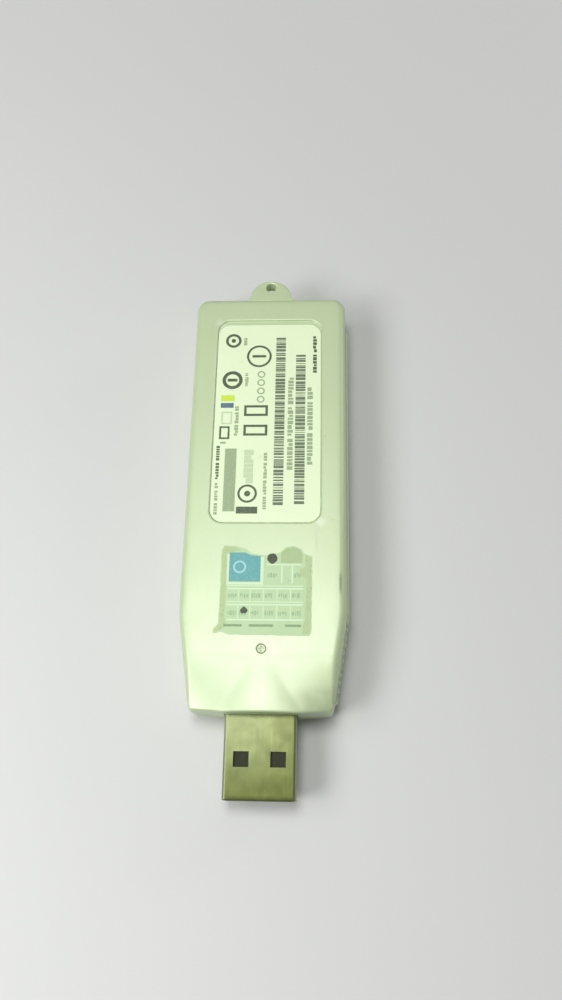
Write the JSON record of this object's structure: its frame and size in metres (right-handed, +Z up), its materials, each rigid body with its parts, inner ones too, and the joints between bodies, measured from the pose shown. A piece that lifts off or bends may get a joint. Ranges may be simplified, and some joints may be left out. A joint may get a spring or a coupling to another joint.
{
  "type": "usb wifi adapter",
  "caption": "Slim USB stick Wi-Fi adapter with a pearl silver case, USB-A plug, paper label, sticker and lanyard lug.",
  "frame": {"origin": "centre of the footprint on the resting plane, midway between the plug's tip and the lug's end", "axes": "+X across the body to the right seen from the plug end with the label up, +Y from the plug towards the lanyard lug, +Z up through the label side"},
  "size_m": [0.0298, 0.0966, 0.0107],
  "materials": {
    "case_plastic": "pearl silver ABS, satin",
    "plug_steel": "plated sheet steel, lightly brushed",
    "plug_core_plastic": "black moulded nylon",
    "contact_gold": "gold-plated contact strip",
    "label_paper": "white coated label stock",
    "label_ink_black": "printed black ink on the label",
    "label_ink_grey": "printed grey ink on the label",
    "label_ink_blue": "printed blue ink on the label and sticker",
    "label_ink_yellow": "printed yellow ink on the label",
    "sticker_film": "worn green-grey sticker stock",
    "adhesive_residue": "dirty glue left round the sticker",
    "screw_steel": "zinc-plated screw",
    "light_pipe_plastic": "clear polycarbonate",
    "board_laminate": "green solder mask over glass-fibre laminate",
    "shield_tin": "tin-plated shield sheet",
    "chip_resin": "black chip resin",
    "part_ceramic": "white ceramic body with plated ends",
    "capacitor_ceramic": "tan ceramic capacitor body",
    "tantalum_resin": "yellow moulded tantalum capacitor",
    "ferrite": "dark grey ferrite"
  },
  "bodies": {
    "root": {"back_cover": "case_plastic", "front_cover": "case_plastic", "led_light_pipe": "light_pipe_plastic", "case_screw": "screw_steel", "rating_label": "label_paper", "approval_sticker": "sticker_film", "plug_shell": "plug_steel", "plug_insulator": "plug_core_plastic", "contact_vbus": "contact_gold", "contact_data_minus": "contact_gold", "contact_data_plus": "contact_gold", "contact_ground": "contact_gold", "main_board": "board_laminate", "vbus_ferrite_bead": "ferrite", "data_line_choke": "ferrite", "input_capacitor": "tantalum_resin", "output_capacitor": "tantalum_resin", "main_regulator": "chip_resin", "core_regulator": "chip_resin", "baseband_chip": "chip_resin", "eeprom_chip": "chip_resin", "reference_crystal": "shield_tin", "shield_frame": "shield_tin", "shield_lid": "shield_tin", "radio_chip": "chip_resin", "power_amplifier": "chip_resin", "antenna_switch": "chip_resin", "band_pass_filter": "part_ceramic", "balun": "part_ceramic", "rf_test_socket": "contact_gold", "status_led": "part_ceramic", "antenna_main": "part_ceramic", "antenna_aux": "part_ceramic", "resistor_1": "chip_resin", "resistor_2": "chip_resin", "resistor_3": "chip_resin", "resistor_4": "chip_resin", "resistor_5": "chip_resin", "capacitor_1": "capacitor_ceramic", "capacitor_2": "capacitor_ceramic", "capacitor_3": "capacitor_ceramic", "capacitor_4": "capacitor_ceramic", "capacitor_5": "capacitor_ceramic", "capacitor_6": "capacitor_ceramic", "capacitor_7": "capacitor_ceramic", "capacitor_8": "capacitor_ceramic", "capacitor_9": "capacitor_ceramic"}
  },
  "joints": []
}
